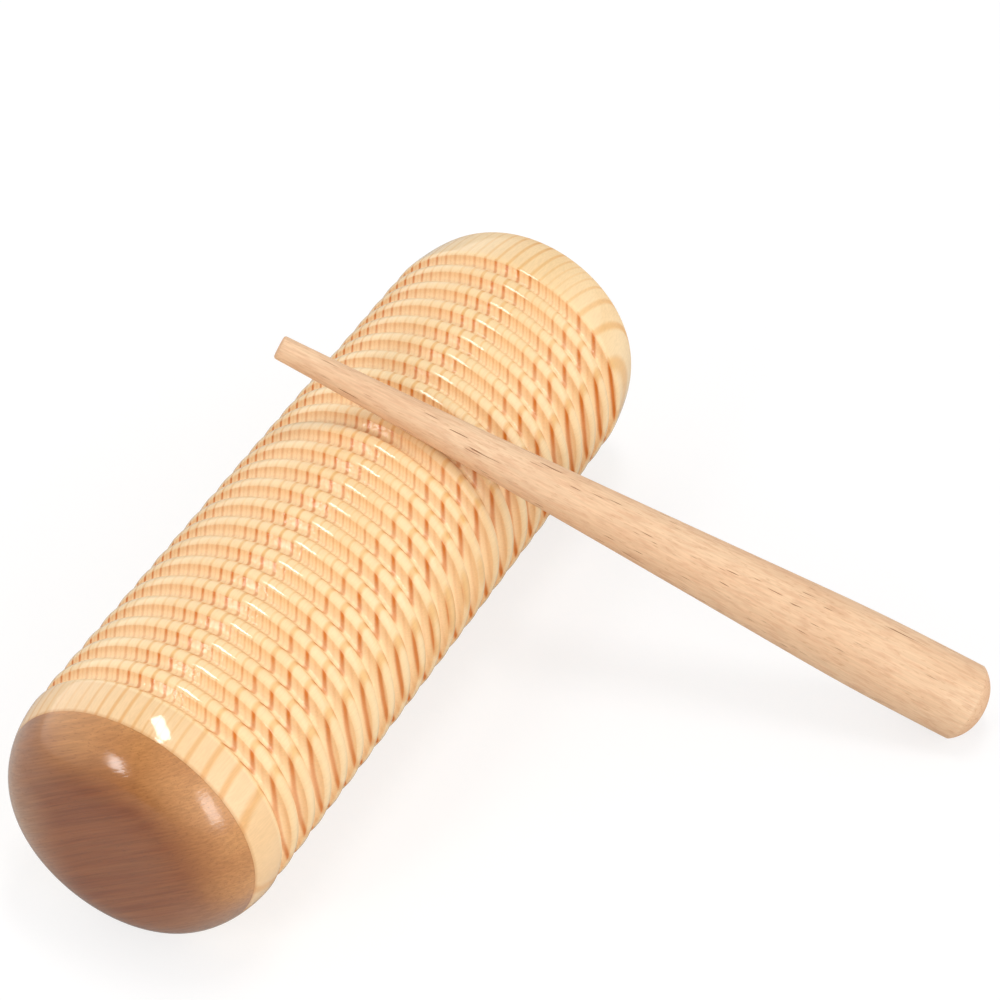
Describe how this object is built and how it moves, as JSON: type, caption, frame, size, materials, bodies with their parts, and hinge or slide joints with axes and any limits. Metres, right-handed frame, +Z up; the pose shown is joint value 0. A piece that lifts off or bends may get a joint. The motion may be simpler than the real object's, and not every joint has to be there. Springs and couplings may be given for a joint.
{
  "type": "guiro",
  "caption": "Closed wooden cylinder guiro with turned ribs, a blunt domed hardwood cap on one end and shot inside, with a tapered wooden scraper leaning across it.",
  "frame": {"origin": "centre of the set's footprint, on the floor that the guiro and the scraper's butt rest on", "axes": "+Z up, +Y along the guiro's axis away from the cap, +X towards the scraper's thick end"},
  "size_m": [0.1736, 0.1952, 0.0836],
  "materials": {
    "pine": "clear gloss lacquer over pine",
    "hardwood": "clear gloss lacquer over fine brown hardwood",
    "beech": "bare sanded beech",
    "steel": "plain steel shot"
  },
  "bodies": {
    "guiro": {"ribbed_body": "pine", "front_cap": "hardwood"},
    "scraper": {"scraper": "beech"},
    "shot": {"shot_01": "steel", "shot_02": "steel", "shot_03": "steel", "shot_04": "steel", "shot_05": "steel", "shot_06": "steel", "shot_07": "steel", "shot_08": "steel", "shot_09": "steel", "shot_10": "steel", "shot_11": "steel", "shot_12": "steel", "shot_13": "steel", "shot_14": "steel", "shot_15": "steel", "shot_16": "steel"}
  },
  "joints": [
    {"name": "scrape_stroke", "type": "slide", "parent": "guiro", "child": "scraper", "axis": [0, 1, 0], "range_m": [-0.097, 0.058]},
    {"name": "shot_travel", "type": "slide", "parent": "guiro", "child": "shot", "axis": [0, 1, 0], "range_m": [-0.06, 0.064]}
  ]
}
